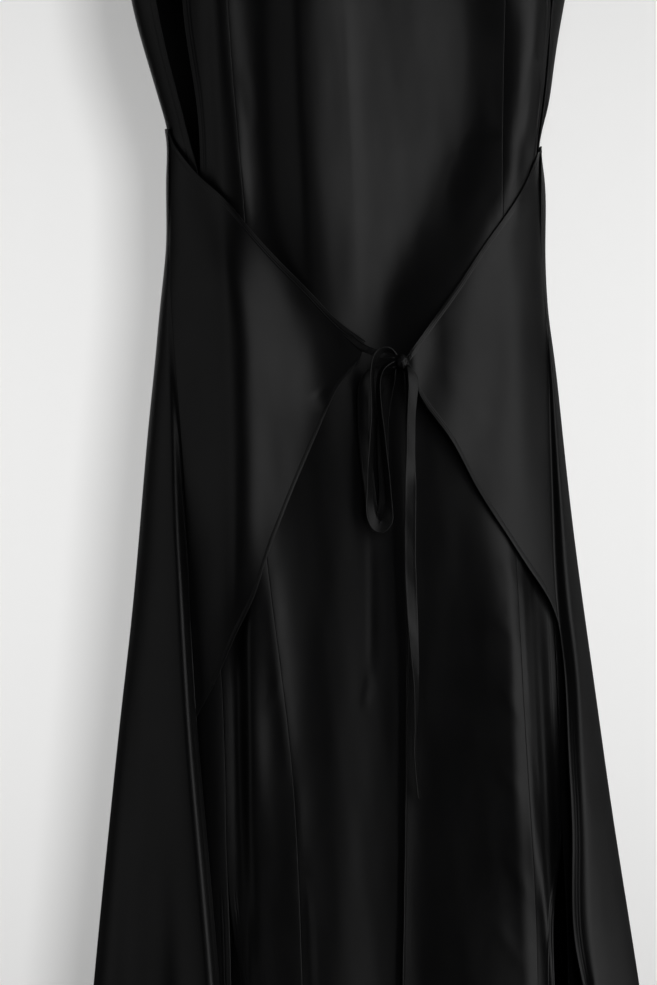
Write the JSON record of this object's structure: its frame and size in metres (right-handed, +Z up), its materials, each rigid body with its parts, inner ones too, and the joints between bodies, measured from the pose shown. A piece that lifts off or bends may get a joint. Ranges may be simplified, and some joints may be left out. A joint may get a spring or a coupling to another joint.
{
  "type": "wrap dress",
  "caption": "Long sleeveless dress with a flared wrap overskirt whose wings cross low over the front and tie with narrow flat ties.",
  "frame": {"origin": "middle of the shoulder line, midway between the two shoulder seams, where the wearer's shoulders hold the dress", "axes": "+Z up along the dress's length, front facing -Y, +X to the right as seen from the front"},
  "size_m": [0.5352, 0.3014, 1.3498],
  "materials": {
    "dress_satin": "black satin",
    "overskirt_satin": "black satin",
    "tie_satin": "black satin"
  },
  "bodies": {
    "root": {"front_centre": "dress_satin", "front_side_left": "dress_satin", "front_side_right": "dress_satin", "back_bodice": "dress_satin", "back_skirt": "dress_satin", "overskirt_left": "overskirt_satin", "overskirt_right": "overskirt_satin", "wing_left": "overskirt_satin", "wing_right": "overskirt_satin", "tie_lead": "tie_satin", "tie_knot": "tie_satin", "tie_loop_front": "tie_satin", "tie_loop_back": "tie_satin", "tie_tail_short": "tie_satin", "tie_tail_long": "tie_satin"}
  },
  "joints": []
}
